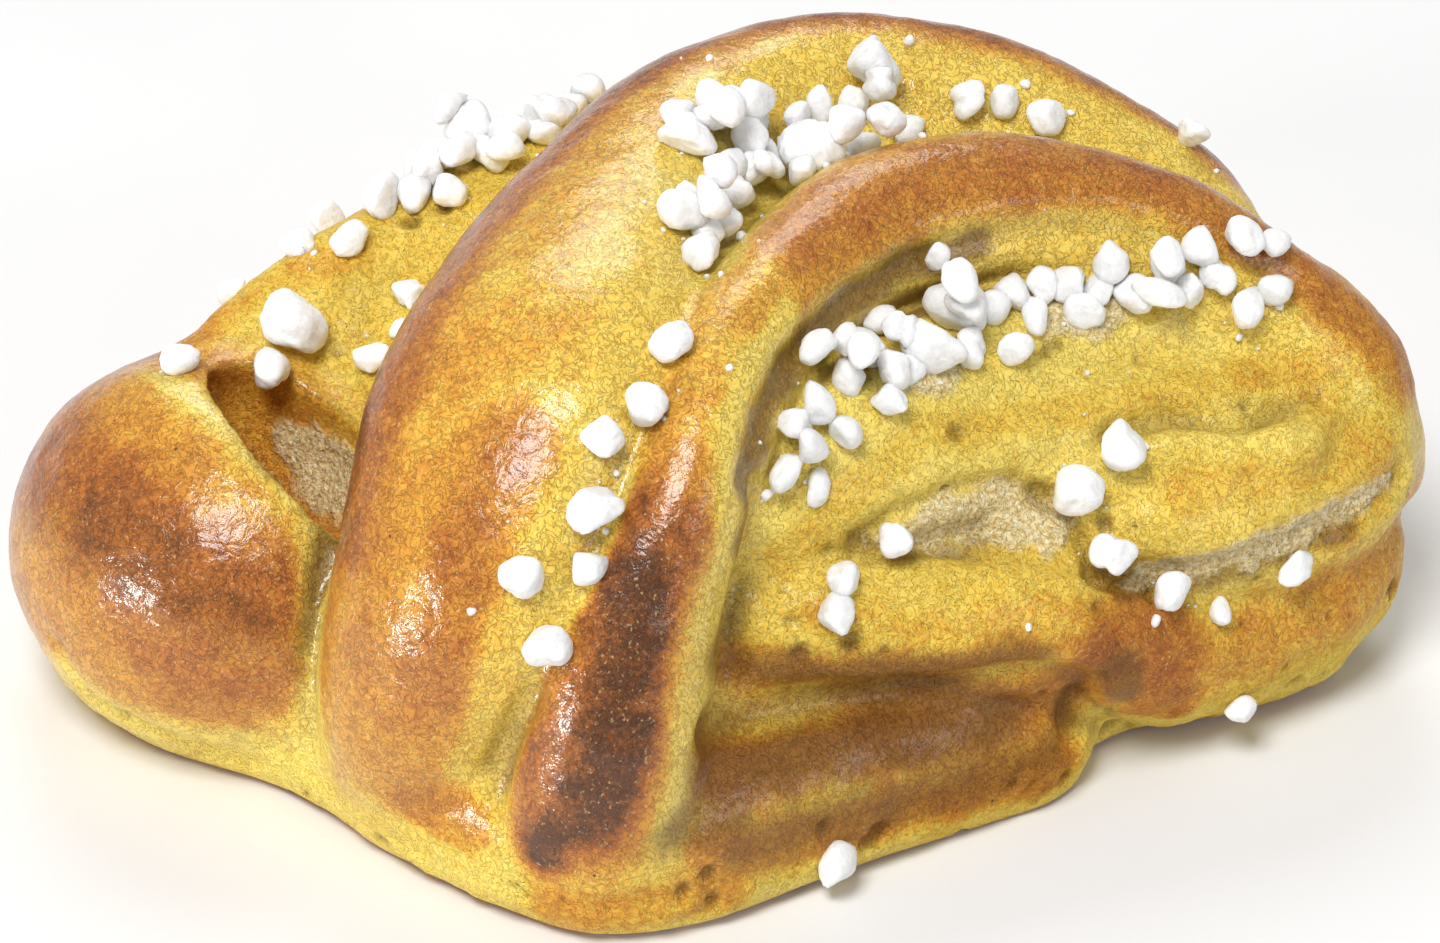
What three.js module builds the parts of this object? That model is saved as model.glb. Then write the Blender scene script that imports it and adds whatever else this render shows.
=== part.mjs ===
// Saffron bun: a thick roll of sweet saffron dough, snipped into joined slices that lean and fan
// apart, baked in one piece and strewn with grains of pearl sugar.
//
// Millimetres, +Z up. The origin is the middle of the flat base. The rounded ends of the slices
// face -Y, the snipped face that shows the rolled layers looks towards +X.

import * as THREE from 'three';
import { mergeVertices } from 'three/addons/utils/BufferGeometryUtils.js';

// ---------------------------------------------------------------- driving dimensions

const WIDTH = 78;             // X, over the left lobe and the snipped face
const LENGTH = 90;            // Y, front to back
const HEIGHT = 41.5;          // Z, base to the top fold
const GAP = 0.3;              // clear space that a sugar grain keeps to whatever it lies on

const MERIDIANS = 104;        // steps round the bun
const ROWS = 36;              // steps from the base edge up to the crown

const CRUST = new THREE.MeshStandardMaterial({ color: 0xc98a3a, roughness: 0.5, metalness: 0 });
const SUGAR = new THREE.MeshStandardMaterial({ color: 0xf6f4ef, roughness: 0.7, metalness: 0 });

// ---------------------------------------------------------------- the dough's folds
//
// A fold is a rope of dough. Each row is a point on its crest, x, y, z, then the half width and
// the half depth of the rope there. melt is how softly it joins the dough below it. face is the
// way that its crest looks, where that isn't straight out from the middle of the bun.

const FOLDS = [
  { name: 'rim of the left slice', melt: 2, crest: [
    [-27, -36, 20, 7, 9], [-28.5, -29, 24, 6, 9], [-28, -19, 27.5, 6, 9], [-26.5, -7, 29.5, 7, 9],
    [-24.5, 4, 31, 7, 9], [-21, 15, 31.5, 7, 9], [-17, 26, 28.5, 8, 9], [-13, 35, 21, 9, 9],
    [-10, 39, 12, 10, 9], [-9, 39, 3, 10, 9]] },
  { name: 'lip over the pocket', melt: 1.2, crest: [
    [-30, -38, 20, 4, 7], [-26, -39, 23, 4, 7], [-21, -40, 24, 4, 7], [-15.5, -40.5, 22.8, 4, 7],
    [-10.5, -41.5, 19.5, 4, 7], [-7, -43, 14, 4, 7], [-5, -43, 8, 4, 7]] },
  { name: 'middle slice, from the front over the top and down the back', melt: 1.2, crest: [
    [5, -41.5, 3, 9, 9], [5.5, -43, 10, 9, 9], [7.5, -42.3, 19, 10, 9],
    [7.5, -38.5, 27.8, 10.8, 8], [4.3, -32.2, 35, 11.2, 7], [0.5, -24.5, 39, 11.8, 7],
    [-4.5, -15, 40.5, 11, 7], [-9, -4.5, 41, 9.5, 7], [-12, 6, 41.2, 8, 7],
    [-9, 18, 41, 6.5, 7], [0, 28, 38.5, 6.5, 7], [9, 34, 34, 6.5, 7], [16, 38, 28, 6.5, 7],
    [20, 39, 18, 7, 8], [19, 38, 6, 8, 8]] },
  { name: 'right slice, a narrow ridge', melt: 1, crest: [
    [22, -37, 3, 7, 7], [22.8, -37.7, 9, 7.5, 7], [22.2, -35.6, 18, 7, 7], [21, -31, 26, 6, 7],
    [20, -25, 32.5, 5, 6], [17, -19, 37, 5, 6], [14, -12, 39.5, 5, 6], [12, -4, 40.5, 5.5, 6],
    [11.3, 4.7, 41.3, 6, 6], [13.5, 13, 41.1, 6, 6], [17.5, 19.5, 39.6, 5.5, 6],
    [23.6, 26, 36.2, 5.5, 6], [30, 30, 31.6, 5, 6], [35, 32.5, 26, 4.5, 5],
    [38, 34.5, 19.5, 4, 5], [38.5, 35, 14.5, 3.5, 4]] },
  { name: 'rolled layer under the ridge', melt: 1, face: [1, -1, 1], crest: [
    [19, -19, 27, 5, 5], [20.5, -14, 29, 7, 7], [22, -7, 30, 8, 8], [23.3, 5, 29.7, 8, 8.5],
    [25, 13.5, 30, 7.5, 8], [28.5, 21, 29.5, 7, 7.5], [33, 25, 28, 6.5, 7], [37, 27, 25, 6, 6]] },
  { name: 'flank of the rolled layer', melt: 1.5, face: [1, -1, 1], crest: [
    [21, -15, 26, 5, 7], [24.5, -7, 27, 6, 7], [27.5, 4, 26.7, 5, 7], [30, 12, 26.8, 4, 7],
    [34, 19.5, 26, 4, 7], [38, 23.5, 24, 4, 6]] },
  { name: 'rolled layer turning back', melt: 1.2, face: [1, -1, 1], crest: [
    [38, 27, 23.5, 6, 6], [39.5, 23, 21.5, 6.5, 6], [39, 17, 20.8, 6.5, 6],
    [36.5, 10.5, 20.8, 6, 6], [32, 5, 21, 5, 6], [28, 0, 22, 4, 6]] },
  { name: 'inner end of the roll', melt: 1, face: [1, -1, 1], crest: [
    [28, 2, 24, 2, 4], [31.5, 9, 24.6, 3, 4.5], [35.2, 14.5, 24.6, 3, 4.5],
    [39, 19.5, 23.8, 3, 4.5]] },
  { name: 'lower layer', melt: 1, face: [1, -1, 1], crest: [
    [20, -25, 19, 5, 6], [22, -21, 19.5, 5.5, 6], [25, -17, 19.5, 6, 6], [29, -11, 19, 6, 6],
    [33, -5, 18, 6, 6], [36, 1, 16.5, 6, 6], [38.3, 8, 13.5, 6.5, 7], [39.3, 13.5, 12.5, 7, 8],
    [40, 20, 13, 7, 8], [39, 26, 15, 7, 8]] },
  { name: 'back of the lower layer', melt: 2, crest: [
    [38.5, 18, 13.5, 7, 9], [38, 25, 15.5, 8, 9], [34, 31, 16, 8, 9], [29, 35, 16, 8, 9]] },
  { name: 'outer end of the roll, along the base', melt: 0.9, face: [1, -1, 0.5], crest: [
    [21, -32, 6, 6, 6], [24.5, -26.5, 6, 6.5, 6], [28.3, -19.5, 6, 6.5, 6],
    [31.5, -13, 6, 6.5, 6], [34, -6, 6, 6.5, 6], [35.4, -2, 6, 6.3, 6]] },
  { name: 'sunken face of the left slice', melt: 2, crest: [
    [-20, -31, 18.5, 8, 8], [-20, -20, 24, 8, 8], [-20, -13, 27, 8, 8], [-19, 1, 31, 8, 8],
    [-17, 12, 33, 9, 8], [-11, 24, 31, 9, 8]] },
  { name: 'floor of the groove between the slices', melt: 2, crest: [
    [15, -30, 26, 4, 8], [11.5, -20, 36.5, 5, 8], [5, -8, 37.5, 6, 8], [1, 2, 37, 6, 8],
    [0, 10, 36.5, 6, 8], [3, 20, 35.5, 6, 8], [10.5, 28, 33.5, 6, 8], [19, 35, 29.5, 5, 8]] },
];

const MIDDLE = new THREE.Vector3(2, -2, 10);    // crests look straight out from here

// Rounded masses: centre, half sizes, melt.
const HEART = { centre: [0, -2, 10], half: [28, 36, 22], melt: 3 };
const LEFT_LOBE = { centre: [-19, -34.5, 11.5], half: [17.5, 15, 15], melt: 1.5 };
const POCKET = { centre: [-12.5, -32, 22.5], half: [10, 4.5, 8], melt: 1 };   // hollow

// The foot: plan of the dough near the base, its height, and its edge rounding above and below.
const FOOT_PLAN = [
  [-30, -36], [-22, -44], [-12, -43.5], [-3, -41.5], [7, -41], [16, -39.8], [23.5, -36.8],
  [28, -30.5], [30.3, -22], [32.3, -13.5], [34, -5], [33.5, 2], [34, 9], [35.5, 15], [36, 22],
  [34.5, 28], [30, 35], [22, 40], [10, 41], [0, 41], [-10, 39], [-20, 34], [-27, 24],
  [-31, 10], [-32, -5], [-31.5, -20]];
const FOOT = { centre: [2, -1], top: 13, rounding: 8, lowerRounding: 2.5 };

// ---------------------------------------------------------------- distances

const clamp = THREE.MathUtils.clamp;

// The smaller of two distances, rounded off over the length k where they meet.
function blend(a, b, k) {
  const h = clamp(0.5 + 0.5 * (b - a) / k, 0, 1);
  return b * (1 - h) + a * h - k * h * (1 - h);
}

function ellipsoidDistance(x, y, z, a, b, c) {
  const inside = Math.hypot(x / a, y / b, z / c) + 1e-9;
  const slope = Math.hypot(x / (a * a), y / (b * b), z / (c * c)) + 1e-9;
  return inside * (inside - 1) / slope;
}

function massDistance(p, { centre, half }) {
  return ellipsoidDistance(p.x - centre[0], p.y - centre[1], p.z - centre[2], ...half);
}

// A fold as a row of upright elliptical stations under its crest. The distance is measured in
// the frame of the nearest stations, shared smoothly between them.
function makeFold({ crest, melt, face }) {
  const STEPS = 5;            // stations to each pair of crest points
  const line = new THREE.CatmullRomCurve3(
    crest.map(([x, y, z]) => new THREE.Vector3(x, y, z)), false, 'catmullrom', 0.5);
  const girth = new THREE.CatmullRomCurve3(
    crest.map(([, , , a, b]) => new THREE.Vector3(a, b, 0)), false, 'catmullrom', 0.5);
  const count = (crest.length - 1) * STEPS;
  const stations = [];
  const bounds = new THREE.Box3();
  for (let i = 0; i <= count; i++) {
    const top = line.getPoint(i / count);
    const { x: a, y: b } = girth.getPoint(i / count);
    const along = line.getTangent(i / count);
    const up = face ? new THREE.Vector3(...face) : top.clone().sub(MIDDLE);
    up.addScaledVector(along, -up.dot(along)).normalize();
    const side = new THREE.Vector3().crossVectors(along, up);
    const middle = top.clone().addScaledVector(up, -b);
    stations.push({ middle, along, up, side, a, b });
    bounds.union(new THREE.Box3().setFromCenterAndSize(
      middle, new THREE.Vector3().setScalar(2 * (5 + Math.max(a, b)))));
  }
  return { stations, bounds, melt };
}

function foldDistance(p, { stations }) {
  let weight = 0, across = 0, height = 0, along = 0, a = 0, b = 0;
  for (const s of stations) {
    const x = p.x - s.middle.x, y = p.y - s.middle.y, z = p.z - s.middle.z;
    const w = 1 / (x * x + y * y + z * z + 0.5) ** 6;
    weight += w;
    across += w * (x * s.side.x + y * s.side.y + z * s.side.z);
    height += w * (x * s.up.x + y * s.up.y + z * s.up.z);
    along += w * (x * s.along.x + y * s.along.y + z * s.along.z);
    a += w * s.a;
    b += w * s.b;
  }
  a /= weight;
  b /= weight;
  return ellipsoidDistance(across / weight, height / weight, along / weight, a, b, Math.min(a, b));
}

// The foot's plan as a radius for each direction round its centre.
const footCurve = new THREE.CatmullRomCurve3(
  FOOT_PLAN.map(([x, y]) => new THREE.Vector3(x, y, 0)), true, 'catmullrom', 0.5);
const footRim = footCurve.getPoints(6 * FOOT_PLAN.length).slice(0, -1).map(({ x, y }) => {
  const dx = x - FOOT.centre[0], dy = y - FOOT.centre[1];
  return { angle: Math.atan2(dy, dx), radius: Math.hypot(dx, dy) };
}).sort((p, q) => p.angle - q.angle);

function footRadius(angle) {
  const n = footRim.length;
  let i = footRim.findIndex((rim) => rim.angle > angle);
  if (i < 0) i = 0;
  const after = footRim[i], before = footRim[(i + n - 1) % n];
  const turn = 2 * Math.PI;
  const span = (after.angle - before.angle + turn) % turn;
  const part = ((angle - before.angle + turn) % turn) / span;
  return THREE.MathUtils.lerp(before.radius, after.radius, part);
}

function roundedEdge(out, up, r) {
  const a = out + r, b = up + r;
  return Math.min(Math.max(a, b), 0) + Math.hypot(Math.max(a, 0), Math.max(b, 0)) - r;
}

function footDistance(p) {
  const x = p.x - FOOT.centre[0], y = p.y - FOOT.centre[1];
  const out = 0.93 * (Math.hypot(x, y) - footRadius(Math.atan2(y, x)));
  return Math.max(roundedEdge(out, p.z - FOOT.top, FOOT.rounding),
                  roundedEdge(out, -p.z, FOOT.lowerRounding));
}

const folds = FOLDS.map(makeFold);

// How far a point is from the surface of the dough: less than zero inside.
function doughDistance(p) {
  let d = footDistance(p);
  for (const mass of [HEART, LEFT_LOBE]) d = blend(d, massDistance(p, mass), mass.melt);
  for (const fold of folds) {
    if (fold.bounds.containsPoint(p)) d = blend(d, foldDistance(p, fold), fold.melt);
  }
  return -blend(-d, massDistance(p, POCKET), POCKET.melt);
}

// ---------------------------------------------------------------- the bun

const REACH = 75;             // farther out than any part of the dough
const POLE = new THREE.Vector3(1, -3, 9);       // the meridians are drawn about this point

// The outermost surface point from a start point along a direction.
function surfaceAlong(start, direction) {
  const p = new THREE.Vector3();
  let far = REACH, step = 0;
  for (let i = 0; i < 200; i++) {
    const d = doughDistance(p.copy(start).addScaledVector(direction, far));
    if (d <= 0) break;
    step = Math.max(0.25, 0.6 * d);
    far -= step;
  }
  let near = far;
  far += step;
  for (let i = 0; i < 12; i++) {
    const half = (near + far) / 2;
    if (doughDistance(p.copy(start).addScaledVector(direction, half)) > 0) far = half;
    else near = half;
  }
  return start.clone().addScaledVector(direction, (near + far) / 2);
}

function weld(geometry) {
  geometry.deleteAttribute('normal');
  geometry.deleteAttribute('uv');
  return mergeVertices(geometry);
}

// A sphere's rows become the crown, the rows down to the base edge, and the flat base.
function bunGeometry() {
  const geometry = weld(new THREE.SphereGeometry(1, MERIDIANS, ROWS + 1));
  geometry.rotateX(Math.PI / 2);
  const foot = POLE.clone().setZ(0);
  const lowest = [];          // elevation of the base edge seen from the pole, per meridian
  const edge = [];
  for (let m = 0; m < MERIDIANS; m++) {
    const turn = 2 * Math.PI * m / MERIDIANS;
    const point = surfaceAlong(foot, new THREE.Vector3(Math.cos(turn), Math.sin(turn), 0));
    edge.push(point);
    lowest.push(Math.atan2(-POLE.z, point.distanceTo(foot)));
  }
  const position = geometry.getAttribute('position');
  const v = new THREE.Vector3();
  for (let i = 0; i < position.count; i++) {
    v.fromBufferAttribute(position, i).normalize();
    const row = Math.round(Math.acos(clamp(v.z, -1, 1)) / Math.PI * (ROWS + 1));
    const m = (Math.round(Math.atan2(v.y, v.x) / (2 * Math.PI) * MERIDIANS) + MERIDIANS)
      % MERIDIANS;
    let point = foot;
    if (row < ROWS) {
      const elevation = THREE.MathUtils.lerp(Math.PI / 2, lowest[m], row / ROWS);
      const level = row === 0 ? 0 : Math.cos(elevation);
      const turn = 2 * Math.PI * m / MERIDIANS;
      point = surfaceAlong(POLE, new THREE.Vector3(
        level * Math.cos(turn), level * Math.sin(turn), Math.sin(elevation)));
      point.z = Math.max(point.z, 0);
    } else if (row === ROWS) {
      point = edge[m];
    }
    position.setXYZ(i, point.x, point.y, point.z);
  }
  return geometry;
}

// The dough is moulded in its own space, then centred on the origin and drawn out to the
// driving dimensions. The same fit places the sugar.
const crust = bunGeometry();
crust.computeBoundingBox();
const moulded = crust.boundingBox.getSize(new THREE.Vector3());
const middle = crust.boundingBox.getCenter(new THREE.Vector3());
const fit = new THREE.Matrix4()
  .makeScale(WIDTH / moulded.x, LENGTH / moulded.y, HEIGHT / moulded.z)
  .multiply(new THREE.Matrix4().makeTranslation(-middle.x, -middle.y, -crust.boundingBox.min.z));
crust.applyMatrix4(fit);
crust.computeVertexNormals();

const object = new THREE.Group();
const bun = new THREE.Mesh(crust, CRUST);
bun.name = 'bun';
object.add(bun);
object.updateMatrixWorld(true);

// ---------------------------------------------------------------- pearl sugar
//
// Each row is about where a grain lies on the dough, x, y, z, and how long it is.

const GRAINS = {
  sugar_left: [
    [-21, -25, 26, 5], [-23, -34.5, 26, 3.2], [-18.5, -29.5, 21, 3.4], [-29.5, -24, 25, 2.6],
    [-26, -20, 28.5, 2.8], [-22.5, -18, 30, 3], [-28.5, -15, 27.5, 3.4], [-24, -13.5, 30.5, 4],
    [-16, -17.5, 28, 2.8], [-14, -23, 25.5, 3], [-25.5, -8.5, 31, 2.8], [-20.5, -10, 31.5, 3.1],
    [-21, -5.5, 32, 3.3], [-24.5, -3, 31.5, 4.2], [-20, -1, 33, 2.9], [-26, 9, 28, 3.2]],
  sugar_top: [
    [-2, -3.5, 40.5, 4.1], [-3.5, 1, 40.5, 4.2], [0.5, 0.5, 38.5, 3.4], [2, 3.5, 37, 5],
    [-2.8, 5.2, 38.5, 3.2], [-1, 12, 37, 3.4], [4, 8, 37, 2.5], [2.5, -3, 39, 2.8],
    [4, -10, 40, 4], [7, -10.5, 38.5, 3.1], [5, -6.5, 38.5, 3.3], [-2, 15.5, 39.5, 4.4],
    [3, 15, 37, 3.1], [8.5, 24, 36.5, 3.3], [14.5, 33.5, 33.5, 2.8]],
  sugar_middle: [
    [12, -19, 37.5, 3.5], [14.5, -22.5, 35.5, 3.7], [13.5, -26.5, 34.5, 3.2],
    [15.5, -29.5, 31, 4], [16.5, -31.5, 28, 2.9], [15, -34.5, 27.5, 3.9], [17, -35, 23.5, 3.8]],
  sugar_inner: [
    [18.5, 4.5, 32.5, 4.4], [19.5, 9.5, 32, 3], [21.5, 13, 32.5, 3.5], [25, 16.5, 32.5, 3.6],
    [27.5, 19.5, 32.5, 3.3], [30.5, 22.5, 31, 3.5], [27.5, 24.5, 34, 3.3], [22.5, 6, 30.5, 3],
    [20, 0, 32, 4.7], [18, -4.5, 32.5, 3.7], [21, -5.5, 31, 2.9], [18.5, -9, 32, 3.2],
    [20.5, -9.5, 31, 3], [19, -12.5, 31, 3.3], [20, -16, 30, 3.3]],
  sugar_face: [
    [26, -9.5, 21.5, 3.4], [25, -13.5, 21, 2.9], [30, 5, 22.5, 4.4], [31, 9, 25, 3.9],
    [33.5, 5, 19, 3.5], [36.5, 8.5, 16, 3.3]],
};

// A repeatable stream of numbers from 0 to 1.
function numberStream(seed) {
  let state = seed;
  return () => {
    state = (state * 1664525 + 1013904223) % 4294967296;
    return state / 4294967296;
  };
}

const random = numberStream(20);

function randomDirection() {
  const z = 2 * random() - 1, turn = 2 * Math.PI * random(), r = Math.sqrt(1 - z * z);
  return new THREE.Vector3(r * Math.cos(turn), r * Math.sin(turn), z);
}

// A pressed lump of sugar: a rough ball with a few flattened sides.
function grainGeometry(length) {
  const FACETS = 7;
  const geometry = weld(new THREE.IcosahedronGeometry(1, 1));
  const sides = Array.from({ length: FACETS },
    () => ({ normal: randomDirection(), depth: 0.68 + 0.2 * random() }));
  const position = geometry.getAttribute('position');
  const v = new THREE.Vector3();
  for (let i = 0; i < position.count; i++) {
    v.fromBufferAttribute(position, i).multiplyScalar(0.92 + 0.14 * random());
    for (const { normal, depth } of sides) {
      const over = v.dot(normal) - depth;
      if (over > 0) v.addScaledVector(normal, -over);
    }
    position.setXYZ(i, v.x, v.y, v.z);
  }
  geometry.computeBoundingBox();
  const size = geometry.boundingBox.getSize(new THREE.Vector3());
  const breadth = 0.76 + 0.17 * random(), thickness = 0.68 + 0.17 * random();
  geometry.scale(length / size.x, (length * breadth) / size.y, (length * thickness) / size.z);
  return geometry;
}

// The way out of the dough at a point, tilted upwards where a straight way out is blocked.
function outward(p) {
  const e = 0.8;
  const slope = (axis) => doughDistance(p.clone().addScaledVector(axis, e))
    - doughDistance(p.clone().addScaledVector(axis, -e));
  const up = new THREE.Vector3(slope(new THREE.Vector3(1, 0, 0)),
    slope(new THREE.Vector3(0, 1, 0)), slope(new THREE.Vector3(0, 0, 1))).normalize();
  const blocked = () => [3, 5, 7, DROP].some((out) =>
    doughDistance(p.clone().addScaledVector(up, out)) < 2);
  for (let i = 0; i < 12 && blocked(); i++) up.setZ(up.z + 0.3).normalize();
  return up;
}

const DROP = 9;               // a grain starts this far out
const ray = new THREE.Raycaster();

// How far a set of points can move along a direction before the first one touches a mesh.
function clearance(points, direction, meshes) {
  let least = Infinity;
  for (const point of points) {
    ray.set(point, direction);
    const hit = ray.intersectObjects(meshes, false)[0];
    if (hit) least = Math.min(least, hit.distance);
  }
  return least;
}

function corners(mesh) {
  const position = mesh.geometry.getAttribute('position');
  const points = [];
  for (let i = 0; i < position.count; i++) {
    points.push(mesh.localToWorld(new THREE.Vector3().fromBufferAttribute(position, i)));
  }
  return points;
}

// Neighbours are nudged apart along the dough until there is a little room between them.
const lying = [];
for (const [group, rows] of Object.entries(GRAINS)) {
  rows.forEach(([x, y, z, length], i) => {
    const name = `${group}_${String(i + 1).padStart(2, '0')}`;
    lying.push({ name, length, place: new THREE.Vector3(x, y, z) });
  });
}
for (const grain of lying) grain.up = outward(grain.place);
for (let round = 0; round < 30; round++) {
  for (const a of lying) {
    for (const b of lying) {
      const apart = b.place.clone().sub(a.place);
      const room = 0.5 * (a.length + b.length) + 2 * GAP;
      if (a === b || apart.length() >= room) continue;
      const push = 0.25 * (room - apart.length());
      const way = apart.addScaledVector(b.up, -apart.dot(b.up)).normalize();
      b.place.addScaledVector(way, push);
      a.place.addScaledVector(way, -push);
    }
  }
}

// A grain starts clear of the bun and comes down onto the crust, or onto grains already there.
function layGrain({ name, length, place }) {
  const up = outward(place);
  const grain = new THREE.Mesh(grainGeometry(length), SUGAR);
  grain.name = name;
  grain.quaternion.setFromUnitVectors(new THREE.Vector3(0, 0, 1), up)
    .multiply(new THREE.Quaternion().setFromAxisAngle(
      new THREE.Vector3(0, 0, 1), 2 * Math.PI * random()));
  grain.position.copy(place).applyMatrix4(fit).addScaledVector(up, DROP);
  grain.updateMatrixWorld(true);
  const near = object.children.filter((other) => other === bun
    || other.position.distanceTo(grain.position) < 16);
  const down = up.clone().negate();
  const others = near.filter((other) => other !== bun);
  const room = Math.min(
    clearance(corners(grain), down, near),
    clearance(others.flatMap(corners), up, [grain]));
  grain.position.addScaledVector(down, room - GAP);
  grain.geometry.computeVertexNormals();
  object.add(grain);
  grain.updateMatrixWorld(true);
}

lying.forEach(layGrain);

export default object;
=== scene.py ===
"""Looks of a saffron bun: a thick dough roll snipped into joined slices that lean and fan apart,
glazed and baked brown on its folds, yellow where it was cut, and strewn with pearl sugar.

The dough is modelled in millimetres in its own space and then fitted to the CAD bun's box.
"""
import math

import bmesh
import bpy
import numpy as np
from mathutils import Matrix, Vector


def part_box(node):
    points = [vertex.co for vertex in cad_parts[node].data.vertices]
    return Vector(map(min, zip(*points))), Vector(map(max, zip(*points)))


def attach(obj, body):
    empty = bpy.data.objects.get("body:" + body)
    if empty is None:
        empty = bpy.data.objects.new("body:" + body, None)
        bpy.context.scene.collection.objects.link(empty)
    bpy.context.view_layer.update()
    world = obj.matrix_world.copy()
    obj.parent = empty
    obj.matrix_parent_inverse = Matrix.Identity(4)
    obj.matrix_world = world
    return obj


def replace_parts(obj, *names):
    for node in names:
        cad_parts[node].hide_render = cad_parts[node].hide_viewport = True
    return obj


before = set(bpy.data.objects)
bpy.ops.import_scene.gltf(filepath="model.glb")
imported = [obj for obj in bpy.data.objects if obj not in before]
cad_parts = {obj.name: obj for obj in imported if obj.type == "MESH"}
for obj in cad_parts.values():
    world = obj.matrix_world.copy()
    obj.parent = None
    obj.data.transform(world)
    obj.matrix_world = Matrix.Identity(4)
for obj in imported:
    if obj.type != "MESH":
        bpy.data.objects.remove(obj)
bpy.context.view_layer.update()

MM = 0.001
CELL = 0.5  # size of the grid that the dough's surface is drawn on, mm
PORES = 170
CRUMBS = 110  # broken bits of sugar
random = np.random.default_rng(20)

# ---------------------------------------------------------------- the dough's folds
#
# Each crest row is a point on the fold's crest, x, y, z, then the half width and half depth of
# the dough under it. melt is how softly the fold joins its neighbours, and face is the way its
# crest looks where that isn't straight out from MIDDLE.
#
# Baking: tone is how brown the crest is, from 0, pale yellow, to 1, dark brown, as one number
# or as values spread evenly from the crest's start to its end. skin is how far down each side
# the browned skin reaches, in degrees from the crest, first on the left and then on the right
# of someone who looks along the crest with the fold below. side is the tone beyond that, and
# cut is how rough and open the surface is, from 0, glazed skin, to 1, a snipped face.

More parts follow.
